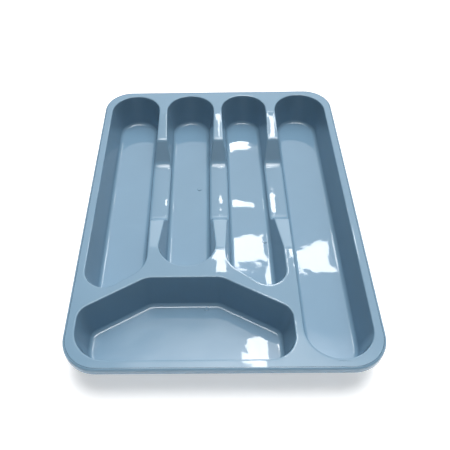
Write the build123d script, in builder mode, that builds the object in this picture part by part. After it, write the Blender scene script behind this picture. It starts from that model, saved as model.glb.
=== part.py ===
"""A one-piece plastic cutlery tray for a kitchen drawer, in millimetres.

The tray is a single thin sheet of moulded plastic: a flat rim that turns down into a lip, four
long wells side by side, and a wide well across the front for small spoons. The sheet is the same
thickness all over, so the dividers between the wells are hollow underneath. Across the three
dividers runs a deep dip for the fingers, a trough with steep ends and a gentle ramp beyond each.

The moulding is written as its natural regions, which meet face to face: the rim, the five wells
and the low skin of each divider. The origin is under the middle of the tray, X runs to the right,
Y to the back and Z up.
"""

from build123d import *
import os
from math import atan2, copysign, cos, degrees, radians, sin, tan

os.makedirs("parts", exist_ok=True)

# The sheet of plastic, and the slope of every wall that the mould needs
wall = 1.6
draft = 10
edge_round_share = 0.75

# The rim and its lip
rim_width = 10
rim_corner_radius = 33.5
lip_drop = 7
lip_inner_round = 0.9
lip_draft = 3

# The long wells, from left to right, and the dividers between them
well_depth = 39.4
left_well_width = 60.3
left_divider_width = 9.9
middle_left_well_width = 59.2
middle_divider_width = 10
middle_right_well_width = 56
right_divider_width = 11.8
long_well_width = 62.8
middle_left_well_length = 274.3
floor_round = 4.5
end_flat = 1.2

# The front well, and the strips of rim that part it from the long wells
front_well_depth = 87
front_well_shoulder = 36
front_well_left_slant_width = 61.1
front_well_right_slant_width = 65.3
front_well_front_left_round = 31
front_well_front_right_round = 24
front_well_shoulder_round = 16
front_well_back_round = 22
back_strip = 13.7
left_strip = 6.4
right_strip = 6.9
long_strip = 7.7

# The slanted front ends of the two wells beside it, a little steeper than its shoulders
left_slant_extra_angle = 4.4
left_slant_tip_round = 20.5
right_slant_extra_angle = 9.13
right_slant_tip_round = 18.3
right_slant_start_round = 26
right_side_spread = 3.1

# The finger dip across the dividers: a trough with steep ends, and a gentle ramp beyond each end
dip_depth = 31.5
dip_slope_angle = 50
dip_back_inset = 35.5
dip_back_run = 42
dip_back_ramp_angle = 10
dip_front_inset = 23.3
dip_front_run = 51.5
dip_front_ramp_angle = 18
dip_ramp_round = 26
dip_shoulder_inner_round = 6.4
dip_foot_round = 15
dip_land = 2

# The round marks on the floors, where the plastic was fed into the mould
gate_radius = 2.4
gate_height = 0.7
gate_round_share = 0.85
middle_left_gate_from_side = 40.8
middle_left_gate_from_back = 132.2
middle_right_gate_from_side = 44.6
middle_right_gate_from_back = 213.9
front_gate_from_side = 119.2
front_gate_from_back = 12.3

# How nearly level a face must be to belong to the top of a divider
top_face_tilt_share = 0.05

# How far a cutting shape runs past what it cuts
overrun = 5

# The whole tray
tray_width = 2 * rim_width + left_well_width + left_divider_width + middle_left_well_width
tray_width += middle_divider_width + middle_right_well_width + right_divider_width
tray_width += long_well_width
tray_length = 2 * rim_width + front_well_depth + back_strip + middle_left_well_length
tray_height = well_depth + wall

# Where the sides of the wells stand at the level of the rim
left_well_left = -tray_width / 2 + rim_width
left_well_right = left_well_left + left_well_width
middle_left_well_left = left_well_right + left_divider_width
middle_left_well_right = middle_left_well_left + middle_left_well_width
middle_right_well_left = middle_left_well_right + middle_divider_width
middle_right_well_right = middle_right_well_left + middle_right_well_width
long_well_left = middle_right_well_right + right_divider_width
long_well_right = long_well_left + long_well_width
front_well_right = long_well_left - long_strip

# Where the ends of the wells lie
back_edge = tray_length / 2 - rim_width
front_edge = -tray_length / 2 + rim_width
front_well_back = front_edge + front_well_depth
shoulder_y = front_well_back - front_well_shoulder
middle_left_well_front = front_well_back + back_strip

# The finger dip, seen from the side: where its two ramps, its two shoulders and its two feet are
back_ramp_y = back_edge - dip_back_inset
back_shoulder_y = back_ramp_y - dip_back_run
back_shoulder_depth = dip_back_run * tan(radians(dip_back_ramp_angle))
back_slope_drop = dip_depth - back_shoulder_depth
back_foot_y = back_shoulder_y - back_slope_drop / tan(radians(dip_slope_angle))
front_ramp_y = middle_left_well_front + dip_front_inset
front_shoulder_y = front_ramp_y + dip_front_run
front_shoulder_depth = dip_front_run * tan(radians(dip_front_ramp_angle))
front_slope_drop = dip_depth - front_shoulder_depth
front_foot_y = front_shoulder_y + front_slope_drop / tan(radians(dip_slope_angle))
dip_back_y = back_ramp_y + dip_ramp_round * tan(radians(dip_back_ramp_angle / 2)) + dip_land
dip_front_y = front_ramp_y - dip_ramp_round * tan(radians(dip_front_ramp_angle / 2)) - dip_land

# Each turn of that line from back to front: its place, its depth and the radius of the surface
dip_turns = [
    (back_ramp_y, 0, dip_ramp_round),
    (back_shoulder_y, back_shoulder_depth, dip_shoulder_inner_round + wall),
    (back_foot_y, dip_depth, dip_foot_round),
    (front_foot_y, dip_depth, dip_foot_round),
    (front_shoulder_y, front_shoulder_depth, dip_shoulder_inner_round + wall),
    (front_ramp_y, 0, dip_ramp_round),
]

# How steeply the line falls before, between and after those turns
dip_slopes = [
    0,
    dip_back_ramp_angle,
    dip_slope_angle,
    0,
    -dip_slope_angle,
    -dip_front_ramp_angle,
    0,
]

# Roundings and wall sizes that follow the sheet
edge_round = edge_round_share * wall
gate_round = gate_round_share * gate_height
well_wall = wall / cos(radians(draft))
lip_wall = wall / cos(radians(lip_draft))
rim_underside = tray_height - wall
lip_foot = tray_height - lip_drop


def round_end(width):
    """The corner radius that leaves a short flat between the two corners of a round end."""
    return (width - end_flat) / 2


def left_well_corners():
    """Corners and radii of the left well, whose front end slants along the front well."""
    end = round_end(left_well_width)
    shoulder = degrees(atan2(front_well_shoulder, front_well_left_slant_width))
    slope = tan(radians(shoulder + left_slant_extra_angle))
    tip_y = shoulder_y + left_strip
    return [
        (left_well_left, back_edge, end),
        (left_well_left, tip_y, left_slant_tip_round),
        (left_well_right, tip_y + left_well_width * slope, end),
        (left_well_right, back_edge, end),
    ]


def middle_left_well_corners():
    """Corners and radii of the middle-left well, a slot with two round ends."""
    end = round_end(middle_left_well_width)
    return [
        (middle_left_well_left, back_edge, end),
        (middle_left_well_left, middle_left_well_front, end),
        (middle_left_well_right, middle_left_well_front, end),
        (middle_left_well_right, back_edge, end),
    ]


def middle_right_well_corners():
    """Corners and radii of the middle-right well, which spreads and slants the other way."""
    end = round_end(middle_right_well_width)
    shoulder = degrees(atan2(front_well_shoulder, front_well_right_slant_width))
    slope = tan(radians(shoulder + right_slant_extra_angle))
    tip_x = middle_right_well_right + right_side_spread
    tip_y = shoulder_y + right_strip
    start_y = tip_y + (tip_x - middle_right_well_left) * slope
    return [
        (middle_right_well_left, back_edge, end),
        (middle_right_well_left, start_y, right_slant_start_round),
        (tip_x, tip_y, right_slant_tip_round),
        (middle_right_well_right, back_edge, end),
    ]


def long_well_corners():
    """Corners and radii of the long well, which runs the whole length of the tray."""
    end = round_end(long_well_width)
    return [
        (long_well_left, back_edge, end),
        (long_well_left, front_edge, end),
        (long_well_right, front_edge, end),
        (long_well_right, back_edge, end),
    ]


def front_well_corners():
    """Corners and radii of the front well, a wide tub with two slanted shoulders."""
    left_turn = left_well_left + front_well_left_slant_width
    right_turn = front_well_right - front_well_right_slant_width
    return [
        (left_turn, front_well_back, front_well_back_round),
        (left_well_left, shoulder_y, front_well_shoulder_round),
        (left_well_left, front_edge, front_well_front_left_round),
        (front_well_right, front_edge, front_well_front_right_round),
        (front_well_right, shoulder_y, front_well_shoulder_round),
        (right_turn, front_well_back, front_well_back_round),
    ]


def tub(corners, growth, bottom, bottom_round):
    """A solid that narrows from an outline in the rim down to the given height."""
    with BuildPart() as body:
        with BuildSketch(Plane.XY.offset(tray_height)):
            with BuildLine():
                FilletPolyline(
                    *[(x, y) for x, y, _ in corners],
                    radius=[radius for _, _, radius in corners],
                    close=True,
                )
            make_face()
            if growth:
                offset(amount=growth)
        extrude(amount=bottom - tray_height, taper=draft)
        fillet(body.edges().group_by(Axis.Z)[0], radius=bottom_round)
    return body.part


def dip_line(below):
    """The turning points and radii of the dip's surface, or of a line that far below it."""
    points = [(dip_back_y, tray_height - below)]
    radii = []
    for (y, depth, surface_round), before, after in zip(dip_turns, dip_slopes, dip_slopes[1:]):
        middle = radians((before + after) / 2)
        reach = below / cos(radians((after - before) / 2))
        points.append((y + reach * sin(middle), tray_height - depth - reach * cos(middle)))
        radii.append(surface_round - copysign(below, after - before))
    points.append((dip_front_y, tray_height - below))
    return points, radii


def dip_space(left, right):
    """Everything above the underside of the dip's skin, between two places across the tray."""
    points, radii = dip_line(wall)
    above = tray_height + overrun
    with BuildPart() as space:
        with BuildSketch(Plane.YZ.offset(left)):
            with BuildLine():
                FilletPolyline(*points, radius=radii)
                Polyline(points[-1], (dip_front_y, above), (dip_back_y, above), points[0])
            make_face()
        extrude(amount=right - left)
    return space.part


def is_top_face(face):
    """Whether a face of a divider's skin belongs to its upper surface."""
    normal = face.normal_at()
    return normal.Z > top_face_tilt_share and abs(normal.X) < top_face_tilt_share


def divider_skin(left, right, left_cavity, right_cavity):
    """The low sheet that roofs one divider in the dip, trimmed to the wells on its two sides."""
    surface, surface_radii = dip_line(0)
    underside, underside_radii = dip_line(wall)
    with BuildPart() as skin:
        with BuildSketch(Plane.YZ.offset(left)):
            with BuildLine():
                FilletPolyline(*surface, radius=surface_radii)
                Line(surface[-1], underside[-1])
                FilletPolyline(*underside, radius=underside_radii)
                Line(underside[0], surface[0])
            make_face()
        extrude(amount=right - left)
        add(left_cavity, mode=Mode.SUBTRACT)
        add(right_cavity, mode=Mode.SUBTRACT)
        top_faces = skin.faces().filter_by(is_top_face)
        fillet(top_faces.edges().filter_by(Axis.X, reverse=True), radius=edge_round)
    return skin.part


def gate_mark(x, y):
    """A small round mark that stands on the floor of a well."""
    with BuildPart() as mark:
        with BuildSketch(Plane.XY.offset(wall)):
            with Locations((x, y)):
                Circle(gate_radius)
        extrude(amount=gate_height)
        fillet(mark.edges().group_by(Axis.Z)[-1], radius=gate_round)
    return mark.part


# The outlines of the five wells, and the free space inside each of them
outlines = {
    "left_well": left_well_corners(),
    "middle_left_well": middle_left_well_corners(),
    "middle_right_well": middle_right_well_corners(),
    "long_well": long_well_corners(),
    "front_well": front_well_corners(),
}
cavities = {name: tub(corners, 0, wall, floor_round) for name, corners in outlines.items()}

# The dip crosses the dividers from the middle of the left well to the middle of the long well.
left_middle = (left_well_left + left_well_right) / 2
middle_left_middle = (middle_left_well_left + middle_left_well_right) / 2
middle_right_middle = (middle_right_well_left + middle_right_well_right) / 2
long_middle = (long_well_left + long_well_right) / 2
dip = dip_space(left_middle, long_middle)

# The marks of the moulding points, each on the floor of its own well
gate_marks = {
    "middle_left_well": gate_mark(
        middle_left_well_left + middle_left_gate_from_side,
        back_edge - middle_left_gate_from_back,
    ),
    "middle_right_well": gate_mark(
        middle_right_well_left + middle_right_gate_from_side,
        back_edge - middle_right_gate_from_back,
    ),
    "front_well": gate_mark(
        left_well_left + front_gate_from_side,
        front_well_back - front_gate_from_back,
    ),
}

# The space under the rim, inside its lip
with BuildPart() as rim_hollow:
    with BuildSketch(Plane.XY.offset(lip_foot)):
        RectangleRounded(
            tray_width - 2 * lip_wall,
            tray_length - 2 * lip_wall,
            rim_corner_radius - lip_wall,
        )
    extrude(amount=lip_drop - wall, taper=lip_draft)
    fillet(rim_hollow.edges().group_by(Axis.Z)[-1], radius=lip_inner_round)

# The rim: a flat frame round and between the wells, turned down at its outer edge into a lip
with BuildPart() as rim:
    with BuildSketch(Plane.XY.offset(lip_foot)):
        RectangleRounded(tray_width, tray_length, rim_corner_radius)
    extrude(amount=lip_drop, taper=lip_draft)
    fillet(rim.edges().group_by(Axis.Z)[-1], radius=lip_inner_round + wall)
    add(rim_hollow.part, mode=Mode.SUBTRACT)
    for cavity in cavities.values():
        add(cavity, mode=Mode.SUBTRACT)
    for opening in rim.faces().sort_by(Axis.Z)[-1].inner_wires():
        fillet(opening.edges(), radius=edge_round)
    add(dip, mode=Mode.SUBTRACT)
rim.part.label = "rim"
export_step(rim.part, "parts/rim.step")

# The five wells: thin tubs that hang from the underside of the rim
for name, corners in outlines.items():
    with BuildPart() as well:
        add(tub(corners, well_wall, 0, floor_round + wall))
        add(cavities[name], mode=Mode.SUBTRACT)
        split(bisect_by=Plane.XY.offset(rim_underside), keep=Keep.BOTTOM)
        if name != "front_well":
            add(dip, mode=Mode.SUBTRACT)
        if name in gate_marks:
            add(gate_marks[name])
    well.part.label = name
    export_step(well.part, f"parts/{name}.step")

# The low skins of the three dividers in the finger dip
with BuildPart() as left_divider:
    add(divider_skin(
        left_middle, middle_left_middle, cavities["left_well"], cavities["middle_left_well"]
    ))
left_divider.part.label = "left_divider"
export_step(left_divider.part, "parts/left_divider.step")

with BuildPart() as middle_divider:
    add(divider_skin(
        middle_left_middle,
        middle_right_middle,
        cavities["middle_left_well"],
        cavities["middle_right_well"],
    ))
middle_divider.part.label = "middle_divider"
export_step(middle_divider.part, "parts/middle_divider.step")

with BuildPart() as right_divider:
    add(divider_skin(
        middle_right_middle, long_middle, cavities["middle_right_well"], cavities["long_well"]
    ))
right_divider.part.label = "right_divider"
export_step(right_divider.part, "parts/right_divider.step")

print(f"tray {tray_length:.1f} long, {tray_width:.1f} wide, {tray_height:.1f} high")
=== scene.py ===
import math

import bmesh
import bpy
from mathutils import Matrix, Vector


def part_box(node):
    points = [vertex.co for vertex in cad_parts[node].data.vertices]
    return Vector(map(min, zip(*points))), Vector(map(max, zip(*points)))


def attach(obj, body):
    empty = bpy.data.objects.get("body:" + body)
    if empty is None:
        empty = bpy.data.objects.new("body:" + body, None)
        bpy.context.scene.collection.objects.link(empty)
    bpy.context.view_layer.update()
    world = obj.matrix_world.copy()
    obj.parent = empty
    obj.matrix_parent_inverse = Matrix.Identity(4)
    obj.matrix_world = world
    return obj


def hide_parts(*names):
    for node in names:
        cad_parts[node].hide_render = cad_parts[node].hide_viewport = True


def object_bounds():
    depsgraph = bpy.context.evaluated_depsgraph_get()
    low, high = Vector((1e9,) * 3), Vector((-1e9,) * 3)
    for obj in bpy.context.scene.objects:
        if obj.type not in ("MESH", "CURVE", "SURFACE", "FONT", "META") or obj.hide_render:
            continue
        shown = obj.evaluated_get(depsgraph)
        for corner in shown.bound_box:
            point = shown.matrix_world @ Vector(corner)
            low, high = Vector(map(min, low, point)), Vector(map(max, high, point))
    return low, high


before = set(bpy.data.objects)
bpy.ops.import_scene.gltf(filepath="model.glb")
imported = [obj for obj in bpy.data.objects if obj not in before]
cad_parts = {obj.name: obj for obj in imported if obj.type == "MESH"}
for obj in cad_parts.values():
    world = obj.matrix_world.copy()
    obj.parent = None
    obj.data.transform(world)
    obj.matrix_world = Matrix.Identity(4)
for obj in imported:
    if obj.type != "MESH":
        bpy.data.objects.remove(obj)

# %% [markdown]
# # A moulded cutlery tray
#
# The object is one sheet of glossy plastic, moulded as four long wells, a wide front well and a
# rim that turns down into a lip. The loaded frame holds its real size and place. This lesson makes
# one finely rounded shell around that frame, paints it as moulded plastic and lights it softly.
# All lengths are in metres, with X to the right, Y to the back and Z up.

frame_low, frame_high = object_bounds()
print("frame size", [round(side, 4) for side in frame_high - frame_low])

# %% [markdown]
# ## The sheet and its wells
#
# A moulded wall leans by a few degrees, its draft, so that the part slides off the mould. The same
# thickness runs everywhere, so the shell has two skins that follow each other: the shiny side that
# one sees from above, and the underside. Each well's outer skin lies in the frame as a node of its
# own, so the well's outline at the top of the rim is that node's box less the thickness of its wall.

# %% Sizes of the sheet
wall = 0.0016
draft = math.radians(10)
top = frame_high.z
skin = wall / math.cos(draft) - wall * math.tan(draft)
end_flat = 0.0012
same_level = wall / 10
print("the rim's top face is", round(top * 1000, 2), "mm up")


def opening_of(node):
    """Left, right, front and back of a well where its walls meet the top of the rim."""
    low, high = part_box(node)
    return low.x + skin, high.x - skin, low.y + skin, high.y - skin


# %% [markdown]
# ## Outlines
#
# Every outline here is a polygon whose corners are arcs. It is kept as a short list of corners,
# each with its radius. The two wells beside the front well end on a slant, which follows the front
# well's shoulders, and the wide well tapers towards the back.

# %% Corners of the two plain slots
left, right, front, back = opening_of("middle_left_well")
end = (right - left - end_flat) / 2
middle_left_corners = [(left, back, end), (left, front, end), (right, front, end), (right, back, end)]
print("middle-left slot", round((back - front) * 1000, 1), "mm long at the top")
left, right, front, back = opening_of("long_well")
end = (right - left - end_flat) / 2
long_corners = [(left, back, end), (left, front, end), (right, front, end), (right, back, end)]
long_well_left = left
print("long slot", round((back - front) * 1000, 1), "mm long at the top")

# %% Corners of the left well, with its slanted front
left_slant = math.radians(34.9)
left_tip_radius = 0.0205
left, right, front, back = opening_of("left_well")
end = (right - left - end_flat) / 2
tip_drop = left_tip_radius * ((1 + math.sin(left_slant)) / math.cos(left_slant) - 1)
tip = front - tip_drop
shoulder = tip + (right - left) * math.tan(left_slant)
left_corners = [
    (left, back, end),
    (left, tip, left_tip_radius),
    (right, shoulder, end),
    (right, back, end),
]
left_well_right = right
print("the left well slants by", round(math.degrees(left_slant), 1), "degrees at its front")

# %% Corners of the middle-right well, which spreads a little and slants the other way
right_slant = math.radians(38)
right_tip_radius = 0.0183
right_start_radius = 0.026
back_width = 0.056
side_spread = 0.0031
left, _, front, back = opening_of("middle_right_well")
end = (back_width - end_flat) / 2
tip_drop = right_tip_radius * ((1 + math.sin(right_slant)) / math.cos(right_slant) - 1)
tip = front - tip_drop
right = left + back_width
spread = right + side_spread
start = tip + (spread - left) * math.tan(right_slant)
middle_right_corners = [
    (left, back, end),
    (left, start, right_start_radius),
    (spread, tip, right_tip_radius),
    (right, back, end),
]
print("the middle-right well slants by", round(math.degrees(right_slant), 1), "degrees")

# %% Corners of the front well, with its two shoulders
shoulder_depth = 0.036
left_taper = 0.0611
right_taper = 0.0653
front_left_radius = 0.031
front_right_radius = 0.024
shoulder_radius = 0.016
taper_radius = 0.022
left, right, front, back = opening_of("front_well")
front_corners = [
    (left + left_taper, back, taper_radius),
    (left, back - shoulder_depth, shoulder_radius),
    (left, front, front_left_radius),
    (right, front, front_right_radius),
    (right, back - shoulder_depth, shoulder_radius),
    (right - right_taper, back, taper_radius),
]
wells = [left_corners, middle_left_corners, middle_right_corners, long_corners, front_corners]
print("the front well is", round((right - left) * 1000, 1), "mm wide at the top")

# %% Corners of the whole tray
corner_radius = 0.0335
left, right = frame_low.x, frame_high.x
front, back = frame_low.y, frame_high.y
tray_corners = [
    (left, back, corner_radius),
    (left, front, corner_radius),
    (right, front, corner_radius),
    (right, back, corner_radius),
]
print("the tray's corners turn on a radius of", round(corner_radius * 1000, 1), "mm")

# %% [markdown]
# ## Drawing an outline with spun arcs
#
# A vertex that is spun about a centre leaves an exact arc behind it. So each corner is one spin,
# and straight edges join one arc to the next. A larger or smaller copy of the outline keeps the
# same centres, which is how the two skins stay a wall apart.

# %% One outline
degrees_a_step = 4


def draw_outline(bm, corners, height, growth=0.0):
    """Draws a closed outline with rounded corners and fills it with one face that looks up."""
    arcs = []
    count = len(corners)
    for i, (x, y, radius) in enumerate(corners):
        corner = Vector((x, y, height))
        incoming = (corner - Vector((*corners[i - 1][:2], height))).normalized()
        outgoing = (Vector((*corners[(i + 1) % count][:2], height)) - corner).normalized()
        turn = incoming.angle(outgoing)
        inward = Vector((-incoming.y, incoming.x, 0))
        start = corner - incoming * radius * math.tan(turn / 2)
        first = bm.verts.new(start - inward * growth)
        steps = max(3, round(math.degrees(turn) / degrees_a_step))
        arc = bmesh.ops.spin(
            bm,
            geom=[first],
            cent=start + inward * radius,
            axis=(0, 0, 1),
            dvec=(0, 0, 0),
            angle=turn,
            steps=steps,
        )
        last = [item for item in arc["geom_last"] if isinstance(item, bmesh.types.BMVert)]
        arcs.append((first, last[0]))
    for i, (first, _) in enumerate(arcs):
        bm.edges.new((arcs[i - 1][1], first))
    loose = [edge for edge in bm.edges if not edge.link_faces and edge.is_wire]
    face = bmesh.ops.edgeloop_fill(bm, edges=loose)["faces"][0]
    face.normal_update()
    if face.normal.z < 0:
        face.normal_flip()
    return face


# %% [markdown]
# ## The finger dip
#
# Across the three dividers the sheet dips, so that fingers can reach under the cutlery. Seen from
# the side it is a deep trough with steep ends, and a gentle ramp leads down to each end. Its line
# is again a polygon with rounded corners, and its height is read wherever it is needed.

# %% Sizes of the dip
dip_depth = 0.0315
dip_slope = math.radians(50)
back_ramp, back_ramp_slope = 0.152, math.radians(10)
back_shoulder = 0.110
front_shoulder = -0.012
front_ramp, front_ramp_slope = -0.0635, math.radians(18)
ramp_radius = 0.026
brow_radius = 0.008
foot_radius = 0.015

back_drop = (back_ramp - back_shoulder) * math.tan(back_ramp_slope)
front_drop = (front_shoulder - front_ramp) * math.tan(front_ramp_slope)
back_foot = back_shoulder - (dip_depth - back_drop) / math.tan(dip_slope)
front_foot = front_shoulder + (dip_depth - front_drop) / math.tan(dip_slope)
dip_turns = [
    (back_ramp, 0, ramp_radius),
    (back_shoulder, back_drop, brow_radius),
    (back_foot, dip_depth, foot_radius),
    (front_foot, dip_depth, foot_radius),
    (front_shoulder, front_drop, brow_radius),
    (front_ramp, 0, ramp_radius),
]
dip_slopes = [0, back_ramp_slope, dip_slope, 0, -dip_slope, -front_ramp_slope, 0]


def dip_line(below):
    """Points (y, depth) of the dip from back to front, on a line that far below its surface."""
    points = []
    for (y, depth, radius), before, after in zip(dip_turns, dip_slopes, dip_slopes[1:]):
        half = (after - before) / 2
        middle = (after + before) / 2
        side = math.copysign(1, half)
        radius -= side * below
        reach = radius * math.tan(abs(half))
        y += below * math.sin(middle) / math.cos(half)
        depth += below * (math.cos(middle) / math.cos(half) - 1)
        start_y = y + reach * math.cos(before)
        start_depth = depth - reach * math.sin(before)
        steps = max(4, round(math.degrees(abs(after - before)) / degrees_a_step))
        for step in range(steps + 1):
            slope = before + (after - before) * step / steps
            run = side * radius * (math.sin(slope) - math.sin(before))
            drop = side * radius * (math.cos(before) - math.cos(slope))
            points.append((start_y - run, start_depth + drop))
    return points


def dip_at(points, y):
    """How deep the dip is at a place along the tray."""
    for (back_y, back_depth), (front_y, front_depth) in zip(points, points[1:]):
        if front_y <= y <= back_y and back_y > front_y:
            share = (back_y - y) / (back_y - front_y)
            return back_depth + (front_depth - back_depth) * share
    return 0.0


print("the dip is", round(dip_at(dip_line(0), 0.03) * 1000, 2), "mm deep in the middle")

# %% [markdown]
# ## One skin of the tray
#
# The rim's skin starts as the outline of the lip's foot, raised by an inset to the deck. Each well
# is an outline on the deck, inset once for a narrow ring and once more, downwards, for its leaning
# walls and floor. The deck is then filled between the rings, cut along the dip's lines and let down.
# Bevels round the edges at the end, where every neighbour is a clean strip or a flat face.

# %% Sizes of the rim and its edges
lip_drop = 0.007
lip_draft = math.radians(3)
lip_radius = 0.0025
edge_radius = 0.0012
floor_radius = 0.0045
ring_width = 0.0022
lip_ring_width = 0.0045
dip_edge_radius = 0.0028
dip_edge_drop = 0.0010
lip_wall = wall / math.cos(lip_draft)
rim_segments = 4
floor_segments = 8
lip_segments = 6
print("the lip reaches", round(lip_drop * 1000, 1), "mm down from the rim's top face")

# %% Helpers for marking and insetting
edge_kinds = {"rim": 1, "floor": 2, "lip": 3, "brow": 4}


def mark(edges, layer, kind):
    """Remembers what an edge is, through every cut that follows."""
    for edge in edges:
        edge[layer] = edge_kinds[kind]


def inset(bm, face, width, rise=0.0):
    """Insets one face evenly, and raises or lowers what is left of it."""
    bmesh.ops.inset_region(
        bm,
        faces=[face],
        thickness=width,
        depth=rise,
        use_boundary=True,
        use_even_offset=True,
    )


# %% Helpers for rounding and filling
def tangent(radius, turn):
    """How far from an edge its rounding starts, for faces whose normals differ by this turn."""
    return radius * math.tan(turn / 2)


def bevel(bm, edges, width, segments):
    """Bevels some edges with a round profile."""
    bmesh.ops.bevel(
        bm,
        geom=edges,
        offset=width,
        offset_type="OFFSET",
        segments=segments,
        profile=0.5,
        affect="EDGES",
        clamp_overlap=False,
        loop_slide=False,
        material=-1,
    )


def round_edges(bm, layer, kind, width, segments):
    """Rounds every edge of one kind."""
    edges = [edge for edge in bm.edges if edge[layer] == edge_kinds[kind]]
    bevel(bm, edges, width, segments)
    print("rounded", len(edges), kind, "edges")


def fill_level(bm, edges):
    """Fills between level outlines with triangles that look up, and says how many."""
    filled = bmesh.ops.triangle_fill(bm, edges=edges, use_beauty=True, normal=(0, 0, 1))
    faces = [item for item in filled["geom"] if isinstance(item, bmesh.types.BMFace)]
    for face in faces:
        face.normal_update()
        if face.normal.z < 0:
            face.normal_flip()
    return len(faces)


# %% The lip, the wells and the deck between them
def raise_lip(bm, layer, growth, deck):
    """The lip from its foot up to the deck, with a ring of deck inside it."""
    rise = deck - (top - lip_drop)
    face = draw_outline(bm, tray_corners, top - lip_drop, growth)
    inset(bm, face, rise * math.tan(lip_draft), rise)
    mark(face.edges, layer, "lip")
    inset(bm, face, lip_ring_width)
    bmesh.ops.delete(bm, geom=[face], context="FACES_ONLY")


def sink_well(bm, layer, corners, growth, deck, floor):
    """A ring of deck, and the walls and floor that hang inside it."""
    face = draw_outline(bm, corners, deck, growth + ring_width)
    mark(face.edges, layer, "brow")
    inset(bm, face, ring_width)
    mark(face.edges, layer, "rim")
    inset(bm, face, (deck - floor) * math.tan(draft), floor - deck)
    mark(face.edges, layer, "floor")


def on_deck(item, deck):
    """Whether an edge or a face lies in the deck."""
    return all(abs(vert.co.z - deck) < same_level for vert in item.verts)


def fill_deck(bm, deck):
    """Fills the deck between the rings."""
    open_edges = [edge for edge in bm.edges if edge.is_boundary and on_deck(edge, deck)]
    return fill_level(bm, open_edges)


# %% [markdown]
# ## Letting the dividers down
#
# In the dip the tops of the dividers lie lower, and they are wider there, because the walls of the
# wells lean. Their edges are also softer the deeper they lie. The low tops could be pieces of their
# own, but they belong to the same sheet. So the deck is cut across along the dip's lines and let
# down, and its edges slide down along the walls of the wells.

# %% Where each point of the dividers goes
def place_in_dip(vert, layer, depth, below):
    """How a point of the deck moves where the dip is that deep, with softer edges further down."""
    kinds = {edge[layer] for edge in vert.link_edges}
    share = depth / dip_depth
    if edge_kinds["rim"] in kinds:
        side = min(vert.link_faces, key=lambda face: abs(face.normal.z)).normal
        drop = depth + dip_edge_drop * share
        return Vector((side.x, side.y, 0)).normalized() * drop * math.tan(draft) - Vector((0, 0, drop))
    if edge_kinds["brow"] in kinds:
        rings = [
            face for face in vert.link_faces
            if any(edge[layer] == edge_kinds["rim"] for edge in face.edges)
        ]
        towards = sum(face.calc_center_bounds().x - vert.co.x for face in rings)
        round_starts = tangent(dip_edge_radius - below, math.pi / 2 - draft)
        out = share * (dip_depth * math.tan(draft) + ring_width - round_starts)
        return Vector((math.copysign(out, towards), 0, -depth))
    return Vector((0, 0, -depth))


# %% Cutting the dividers across and letting them down
cut_closeness = wall / 1000
first_x = left_well_right - ring_width
last_x = long_well_left + ring_width


def cut_across(bm, deck, y):
    """Cuts the deck of the dividers along one line from side to side."""
    faces = [
        face for face in bm.faces
        if on_deck(face, deck)
        and first_x < face.calc_center_bounds().x < last_x
        and min(vert.co.y for vert in face.verts) < y < max(vert.co.y for vert in face.verts)
    ]
    edges = dict.fromkeys(edge for face in faces for edge in face.edges)
    verts = dict.fromkeys(vert for face in faces for vert in face.verts)
    bmesh.ops.bisect_plane(
        bm,
        geom=[*verts, *edges, *faces],
        dist=cut_closeness,
        plane_co=(0, y, 0),
        plane_no=(0, 1, 0),
    )


def lower_dividers(bm, layer, deck, below):
    """Cuts the dividers along the dip's lines, and lets them down along the walls of the wells."""
    points = dip_line(below)
    stations = sorted({round(y, 6) for y, _ in points})
    for y in stations:
        cut_across(bm, deck, y)
    bm.normal_update()
    moves = []
    for vert in bm.verts:
        inside = stations[0] < vert.co.y < stations[-1] and first_x < vert.co.x < last_x
        if inside and abs(vert.co.z - deck) < same_level:
            depth = dip_at(points, vert.co.y)
            moves.append((vert, place_in_dip(vert, layer, depth, below)))
    for vert, move in moves:
        vert.co += move
    print("let down", len(moves), "points of the dividers")


# %% Both skins from one recipe
def make_skin(deck, floor, lip_growth, well_growth, below, rim_round, floor_round, lip_round):
    """One whole skin of the tray, from the foot of its lip to the floors of its wells."""
    bm = bmesh.new()
    layer = bm.edges.layers.int.new("kind")
    raise_lip(bm, layer, lip_growth, deck)
    for corners in wells:
        sink_well(bm, layer, corners, well_growth, deck, floor)
    print("filled the deck with", fill_deck(bm, deck), "triangles")
    lower_dividers(bm, layer, deck, below)
    wall_turn = math.pi / 2 - draft
    lip_turn = math.pi / 2 - lip_draft
    if rim_round:
        round_edges(bm, layer, "rim", tangent(rim_round, wall_turn), rim_segments)
    round_edges(bm, layer, "floor", tangent(floor_round, wall_turn), floor_segments)
    round_edges(bm, layer, "lip", tangent(lip_round, lip_turn), lip_segments)
    return bm


upper = make_skin(
    deck=top,
    floor=wall,
    lip_growth=0.0,
    well_growth=0.0,
    below=0.0,
    rim_round=edge_radius,
    floor_round=floor_radius,
    lip_round=lip_radius,
)
lower = make_skin(
    deck=top - wall,
    floor=0.0,
    lip_growth=-lip_wall,
    well_growth=skin,
    below=wall,
    rim_round=0.0,
    floor_round=floor_radius + wall,
    lip_round=lip_radius - wall,
)

# %% [markdown]
# ## The marks of the moulding points
#
# Melted plastic enters the mould through small gates, and each leaves a low round mark on a floor.
# A mark could be a separate disc laid on the floor, but it is the same plastic. So the floor's face
# is taken out, a round stub is raised in its place, and the floor is filled again around the stub.

# %% Three round marks on the floors
gate_marks = [(-0.0240, 0.0553), (0.0490, -0.0264), (-0.0158, -0.1128)]
gate_radius = 0.0024
gate_height = 0.0007
gate_edge_radius = 0.0006
gate_sides = 40
gate_segments = 4
floor_closeness = wall / 100
looks_up = 0.999


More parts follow.
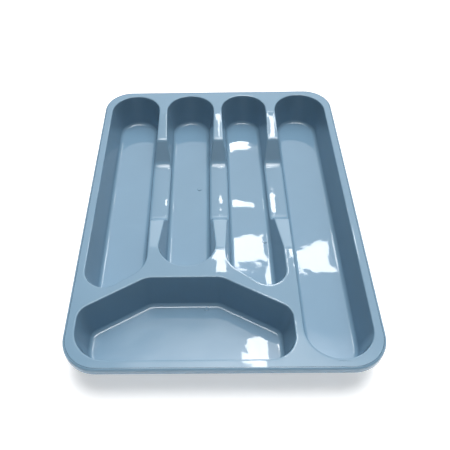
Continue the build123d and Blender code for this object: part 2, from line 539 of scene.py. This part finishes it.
def raise_gate_mark(bm, x, y):
    """Raises one round mark on the floor that lies under this place."""
    place = Vector((x, y, wall))
    floors = [
        face for face in bm.faces
        if face.normal.z > looks_up and abs(face.verts[0].co.z - wall) < floor_closeness
    ]
    floor_face = min(floors, key=lambda face: (face.calc_center_bounds() - place).length)
    outer = list(floor_face.edges)
    bmesh.ops.delete(bm, geom=[floor_face], context="FACES_ONLY")
    circle = bmesh.ops.create_circle(
        bm,
        cap_ends=True,
        radius=gate_radius,
        segments=gate_sides,
        matrix=Matrix.Translation(place),
    )
    foot = circle["verts"]
    cap = foot[0].link_faces[0]
    if cap.normal.z < 0:
        cap.normal_flip()
    inset(bm, cap, 0.0, gate_height)
    bevel(bm, list(cap.edges), gate_edge_radius, gate_segments)
    inner = dict.fromkeys(
        edge for vert in foot if vert.is_valid for edge in vert.link_edges if edge.is_boundary
    )
    return fill_level(bm, [*outer, *inner])


upper.normal_update()
for x, y in gate_marks:
    print("a mark, and", raise_gate_mark(upper, x, y), "triangles of floor around it")

# %% [markdown]
# ## Closing the shell
#
# A Solidify modifier could give the sheet its thickness, but it would copy the round marks to the
# underside. So the underside is a skin of its own. Its faces are turned round to look down, and the
# two skins are bridged at the foot of the lip. That makes one closed shell, as thick as the sheet.
# The two edges of the foot are then eased a little, as a polished mould leaves them.

# %% Joining the two skins
foot_ease = 0.0003
foot_segments = 2
bmesh.ops.reverse_faces(lower, faces=lower.faces[:])
for face in upper.faces:
    face.material_index = 0
for face in lower.faces:
    face.material_index = 1
passing = bpy.data.meshes.new("underside")
lower.to_mesh(passing)
lower.free()
upper.from_mesh(passing)
bpy.data.meshes.remove(passing)
open_foot = [edge for edge in upper.edges if edge.is_boundary]
bridge = bmesh.ops.bridge_loops(upper, edges=open_foot)
bmesh.ops.recalc_face_normals(upper, faces=upper.faces[:])
bridge_faces = set(bridge["faces"])
foot_edges = [edge for edge in open_foot if len(bridge_faces & set(edge.link_faces)) == 1]
bevel(upper, foot_edges, foot_ease, foot_segments)
open_edges = [edge for edge in upper.edges if not edge.is_manifold]
print("bridged", len(bridge_faces), "faces, left", len(open_edges), "open edges")

# %% The piece itself
mesh = bpy.data.meshes.new("tray_moulding")
upper.to_mesh(mesh)
print("volume", round(upper.calc_volume() * 1e6, 1), "cubic centimetres")
upper.free()
mesh.shade_smooth()
tray = bpy.data.objects.new("tray_moulding", mesh)
bpy.context.scene.collection.objects.link(tray)
normals = tray.modifiers.new("flat faces stay flat", "WEIGHTED_NORMAL")
normals.mode = "FACE_AREA"
normals.weight = 100
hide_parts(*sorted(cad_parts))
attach(tray, "root")
print("the moulding has", len(mesh.polygons), "faces")

# %% [markdown]
# ## What moulded plastic shows
#
# A mould's polish makes the plastic shine, but the sheet shrinks unevenly as it cools. So a mirror
# image on it is bent by slow waves, some centimetres long and a few tenths of a millimetre high.
# The pigment is also a little streaky where the melt flowed, and cutlery leaves hair-fine scuffs.
# Each of these could be painted once for one surface, but both sides of the sheet need them, with
# fainter scuffs below. So each is a node group that gives a height, a colour or a mask.

# %% A helper for the groups
def new_group(name, inputs, outputs):
    """An empty node group with named sockets, and its own coordinates on the object."""
    group = bpy.data.node_groups.new(name, "ShaderNodeTree")
    for socket, kind, value in inputs:
        group.interface.new_socket(socket, in_out="INPUT", socket_type=kind).default_value = value
    for socket, kind in outputs:
        group.interface.new_socket(socket, in_out="OUTPUT", socket_type=kind)
    entry = group.nodes.new("NodeGroupInput")
    leave = group.nodes.new("NodeGroupOutput")
    place = group.nodes.new("ShaderNodeTexCoord")
    return group, entry, leave, place.outputs["Object"]


def new_math(tree, operation, first, second):
    """One sum on two values, each either a number or another node's output."""
    node = tree.nodes.new("ShaderNodeMath")
    node.operation = operation
    for socket, value in zip(node.inputs, (first, second)):
        if isinstance(value, bpy.types.NodeSocket):
            tree.links.new(value, socket)
        else:
            socket.default_value = value
    return node.outputs[0]


def new_noise(tree, vector, scale, detail, distortion=0.0):
    """A noise that reads the given coordinates."""
    noise = tree.nodes.new("ShaderNodeTexNoise")
    noise.inputs["Scale"].default_value = scale
    noise.inputs["Detail"].default_value = detail
    noise.inputs["Distortion"].default_value = distortion
    tree.links.new(vector, noise.inputs["Vector"])
    return noise.outputs["Fac"]


# %% Slow waves left by shrinkage
slow_waves_a_metre = 26
ripples_a_metre = 120
ripple_share = 0.08
wave_detail = 0.0


def make_cooling_waves():
    """Height of the waves that bend a mirror image, from 0 to about 1."""
    group, entry, leave, place = new_group(
        "cooling_waves",
        [("Ripple Share", "NodeSocketFloat", ripple_share)],
        [("Height", "NodeSocketFloat")],
    )
    slow = new_noise(group, place, slow_waves_a_metre, wave_detail)
    fine = new_noise(group, place, ripples_a_metre, wave_detail)
    ripples = new_math(group, "MULTIPLY", fine, entry.outputs["Ripple Share"])
    group.links.new(new_math(group, "ADD", slow, ripples), leave.inputs["Height"])
    return group


cooling_waves = make_cooling_waves()
print("slow waves", round(1000 / slow_waves_a_metre), "mm long")

# %% Streaks of pigment
streaks_a_metre = 14
streak_detail = 3.0
streak_distortion = 1.6


def make_flow_streaks():
    """The pigment's colour between a darker and a lighter tint, streaked as the melt flowed."""
    group, entry, leave, place = new_group(
        "flow_streaks",
        [("Dark", "NodeSocketColor", (0, 0, 0, 1)), ("Light", "NodeSocketColor", (1, 1, 1, 1))],
        [("Color", "NodeSocketColor")],
    )
    streaks = new_noise(group, place, streaks_a_metre, streak_detail, streak_distortion)
    blend = group.nodes.new("ShaderNodeMix")
    blend.data_type = "RGBA"
    group.links.new(streaks, blend.inputs["Factor"])
    group.links.new(entry.outputs["Dark"], blend.inputs["A"])
    group.links.new(entry.outputs["Light"], blend.inputs["B"])
    group.links.new(blend.outputs["Result"], leave.inputs["Color"])
    return group


flow_streaks = make_flow_streaks()
print("streaks of pigment", round(1000 / streaks_a_metre), "mm long")

# %% Hair-fine scuffs from cutlery
scuffs_across = 900
scuffs_along = 28
scuff_turn = math.radians(7)
scuff_detail = 2.0
scuff_starts = 0.63
scuff_ends = 0.74


def make_fine_scuffs():
    """A mask of thin scuffs, which run mostly along the wells."""
    group, entry, leave, place = new_group(
        "fine_scuffs", [("Strength", "NodeSocketFloat", 1.0)], [("Mask", "NodeSocketFloat")]
    )
    stretch = group.nodes.new("ShaderNodeMapping")
    stretch.inputs["Rotation"].default_value = (0, 0, scuff_turn)
    stretch.inputs["Scale"].default_value = (scuffs_across, scuffs_along, scuffs_along)
    group.links.new(place, stretch.inputs["Vector"])
    lines = new_noise(group, stretch.outputs["Vector"], 1.0, scuff_detail)
    only_peaks = group.nodes.new("ShaderNodeMapRange")
    only_peaks.inputs["From Min"].default_value = scuff_starts
    only_peaks.inputs["From Max"].default_value = scuff_ends
    group.links.new(lines, only_peaks.inputs["Value"])
    mask = new_math(group, "MULTIPLY", only_peaks.outputs["Result"], entry.outputs["Strength"])
    group.links.new(mask, leave.inputs["Mask"])
    return group


fine_scuffs = make_fine_scuffs()
print("three groups of effects", sorted(group.name for group in bpy.data.node_groups))

# %% [markdown]
# ## Glossy above, a little duller below
#
# The side that one sees is polished. The underside of such a tray only has to come off the mould, so
# it is less shiny. Both are the same opaque grey-blue plastic, with the three effects in each.

# %% The two finishes of the sheet
dark_tint = (0.157, 0.266, 0.366, 1)
light_tint = (0.170, 0.286, 0.391, 1)
plastic_ior = 1.5
wave_height = 0.00045


def moulded_plastic(name, roughness, scuffs, scuff_roughness):
    """One finish of the plastic, from its own roughness and from how its scuffs dull it."""
    material = bpy.data.materials.new(name)
    material.use_nodes = True
    tree = material.node_tree
    shader = tree.nodes["Principled BSDF"]
    shader.inputs["IOR"].default_value = plastic_ior

    streaks = tree.nodes.new("ShaderNodeGroup")
    streaks.node_tree = flow_streaks
    streaks.inputs["Dark"].default_value = dark_tint
    streaks.inputs["Light"].default_value = light_tint
    tree.links.new(streaks.outputs["Color"], shader.inputs["Base Color"])

    scratches = tree.nodes.new("ShaderNodeGroup")
    scratches.node_tree = fine_scuffs
    scratches.inputs["Strength"].default_value = scuffs
    dulling = new_math(tree, "MULTIPLY", scratches.outputs["Mask"], scuff_roughness)
    tree.links.new(new_math(tree, "ADD", dulling, roughness), shader.inputs["Roughness"])

    waves = tree.nodes.new("ShaderNodeGroup")
    waves.node_tree = cooling_waves
    relief = tree.nodes.new("ShaderNodeBump")
    relief.inputs["Distance"].default_value = wave_height
    tree.links.new(waves.outputs["Height"], relief.inputs["Height"])
    tree.links.new(relief.outputs["Normal"], shader.inputs["Normal"])
    return material


finishes = [
    moulded_plastic("grey_blue_gloss", roughness=0.03, scuffs=1.0, scuff_roughness=0.10),
    moulded_plastic("grey_blue_underside", roughness=0.16, scuffs=0.5, scuff_roughness=0.15),
]
for finish in finishes:
    mesh.materials.append(finish)
print("finishes", [finish.name for finish in finishes])

# %% [markdown]
# ## A pale floor
#
# The tray stands on a plain pale floor, wide enough that its far edge is out of the way. A floor
# that only reflects light would go grey round the tray, so it also gives off a little of its own.

# %% Floor
floor_reach = 60
floor_grey = (0.8, 0.8, 0.8, 1)
floor_roughness = 0.9
floor_glow = 0.45
floor_mesh = bpy.data.meshes.new("pale_floor")
flat = bmesh.new()
bmesh.ops.create_grid(flat, x_segments=1, y_segments=1, size=floor_reach)
flat.to_mesh(floor_mesh)
flat.free()
floor = bpy.data.objects.new("pale_floor", floor_mesh)
bpy.context.scene.collection.objects.link(floor)
paint = bpy.data.materials.new("pale_floor")
paint.use_nodes = True
floor_shader = paint.node_tree.nodes["Principled BSDF"]
floor_shader.inputs["Base Color"].default_value = floor_grey
floor_shader.inputs["Roughness"].default_value = floor_roughness
floor_shader.inputs["Emission Color"].default_value = (1, 1, 1, 1)
floor_shader.inputs["Emission Strength"].default_value = floor_glow
floor_mesh.materials.append(paint)
print("the floor reaches", floor_reach, "m each way")

# %% [markdown]
# ## A studio round the tray
#
# Glossy plastic shows what stands round it. Lamps overhead light the floors and the rim but hardly
# reach the steep walls, which stay deep blue. Large lamps could be hung round the tray, but their
# edges would show in every mirror image. So the room itself glows softly from four directions: the
# lamps overhead, a tall bright side behind the tray that the floors mirror, its lower part and,
# dimly, the far end behind the camera.

# %% The dim room with its pale lower walls
room_heights = {0.0: 0.85, 0.08: 0.85, 0.20: 0.08, 1.0: 0.08}
world = bpy.data.worlds.new("studio")
bpy.context.scene.world = world
world.use_nodes = True
room = world.node_tree
direction = room.nodes.new("ShaderNodeTexCoord").outputs["Generated"]


def read_stops(value, stops):
    """A grey that changes with a value as the stops say."""
    ramp = room.nodes.new("ShaderNodeValToRGB")
    elements = ramp.color_ramp.elements
    for position, grey in stops.items():
        at_end = position in (0.0, 1.0)
        stop = elements[-1 if position else 0] if at_end else elements.new(position)
        stop.color = (grey, grey, grey, 1)
    room.links.new(value, ramp.inputs["Fac"])
    return ramp.outputs["Color"]


height = room.nodes.new("ShaderNodeSeparateXYZ")
room.links.new(direction, height.inputs[0])
light_so_far = read_stops(height.outputs["Z"], room_heights)
print("the room's light changes at", len(room_heights), "heights")

# %% The soft glows, each with where it is, how bright, and how it fades to its edge
glows = {
    "bright side": ((0.18, 0.65, 0.74), 1.7, {0.0: 0.0, 0.84: 0.0, 0.90: 0.5, 0.93: 0.85, 1.0: 1.0}),
    "its lower part": ((0.06, 0.97, 0.24), 2.2, {0.0: 0.0, 0.93: 0.0, 0.97: 0.9, 1.0: 1.0}),
    "ceiling lamps": ((0.05, 0.15, 1.0), 10.6, {0.0: 0.0, 0.92: 0.0, 0.96: 0.45, 0.985: 1.0, 1.0: 1.0}),
    "far end of the room": ((0.0, -0.87, 0.50), 0.4, {0.0: 0.0, 0.90: 0.0, 0.97: 0.9, 1.0: 1.0}),
}
for towards, radiance, shares in glows.values():
    facing = room.nodes.new("ShaderNodeVectorMath")
    facing.operation = "DOT_PRODUCT"
    facing.inputs[1].default_value = Vector(towards).normalized()
    room.links.new(direction, facing.inputs[0])
    share = read_stops(facing.outputs["Value"], shares)
    glow = new_math(room, "MULTIPLY", share, radiance)
    light_so_far = new_math(room, "ADD", light_so_far, glow)
room.links.new(light_so_far, room.nodes["Background"].inputs["Color"])
bpy.context.scene.view_settings.view_transform = "Standard"
print("the room glows from", len(glows), "directions")

# %% [markdown]
# ## Bright panels
#
# The white patches on the floors and on the dividers are mirror images of small bright things
# overhead. They could be painted on the plastic, but then they would stay put when the tray is seen
# from elsewhere. So they are lights: flat panels, of which two are oval, as their patches are.

# %% The bright panels, each with its left, right, front and back edge
panel_height = 1.5
panel_radiance = 15


def hang_panel(name, left, right, front, back, oval):
    """A flat light that faces down, with the same brightness all over."""
    light = bpy.data.lights.new(name, "AREA")
    light.shape = "ELLIPSE" if oval else "RECTANGLE"
    light.size = right - left
    light.size_y = back - front
    filled = math.pi / 4 if oval else 1
    light.energy = panel_radiance * math.pi * filled * light.size * light.size_y
    panel = bpy.data.objects.new(name, light)
    panel.location = ((left + right) / 2, (front + back) / 2, panel_height)
    bpy.context.scene.collection.objects.link(panel)


bright_panels = {
    "far_panel": (0.055, 0.197, 1.80, 1.905),
    "far_side_panel": (0.297, 0.353, 1.785, 1.95),
    "second_panel": (0.010, 0.208, 1.352, 1.445),
    "third_panel": (-0.027, 0.224, 1.03, 1.205),
    "third_side_panel": (0.32, 0.533, 1.0, 1.141),
    "middle_ramp_panel": (0.0, 0.045, 0.93, 1.03),
    "right_ramp_panel": (0.227, 0.279, 0.93, 1.06),
    "near_panel": (0.1, 0.215, 0.52, 0.595),
    "near_far_panel": (0.138, 0.221, 0.595, 0.689),
}
oval_panels = {"far_panel", "second_panel"}
for name, edges in bright_panels.items():
    hang_panel(name, *edges, name in oval_panels)
print("hung", len(bright_panels), "bright panels")

# %% [markdown]
# ## The camera
#
# It stands where the photograph was taken from. Its place and turns were fitted so that the rim,
# the wells and the lip fall where they do in the photograph.

# %% Camera
camera_place = Vector((-0.00996, -0.40358, 0.4750))
camera_yaw = -0.017334
camera_pitch = 0.866131
camera_roll = 0.0231565
camera_lens = 43.48
frame_shift = 0.0437
ahead = Vector((
    math.sin(camera_yaw) * math.cos(camera_pitch),
    math.cos(camera_yaw) * math.cos(camera_pitch),
    -math.sin(camera_pitch),
))
level = Vector((math.cos(camera_yaw), -math.sin(camera_yaw), 0))
down = ahead.cross(level)
across = level * math.cos(camera_roll) + down * math.sin(camera_roll)
upright = level * math.sin(camera_roll) - down * math.cos(camera_roll)
camera_data = bpy.data.cameras.new("camera")
camera_data.lens = camera_lens
camera_data.shift_x = frame_shift
camera = bpy.data.objects.new("camera", camera_data)
bpy.context.scene.collection.objects.link(camera)
turned = Matrix((across, upright, -ahead)).transposed().to_4x4()
camera.matrix_world = Matrix.Translation(camera_place) @ turned
bpy.context.scene.camera = camera
print("the camera is", round(camera_place.z * 1000), "mm up, with a lens of", camera_lens, "mm")
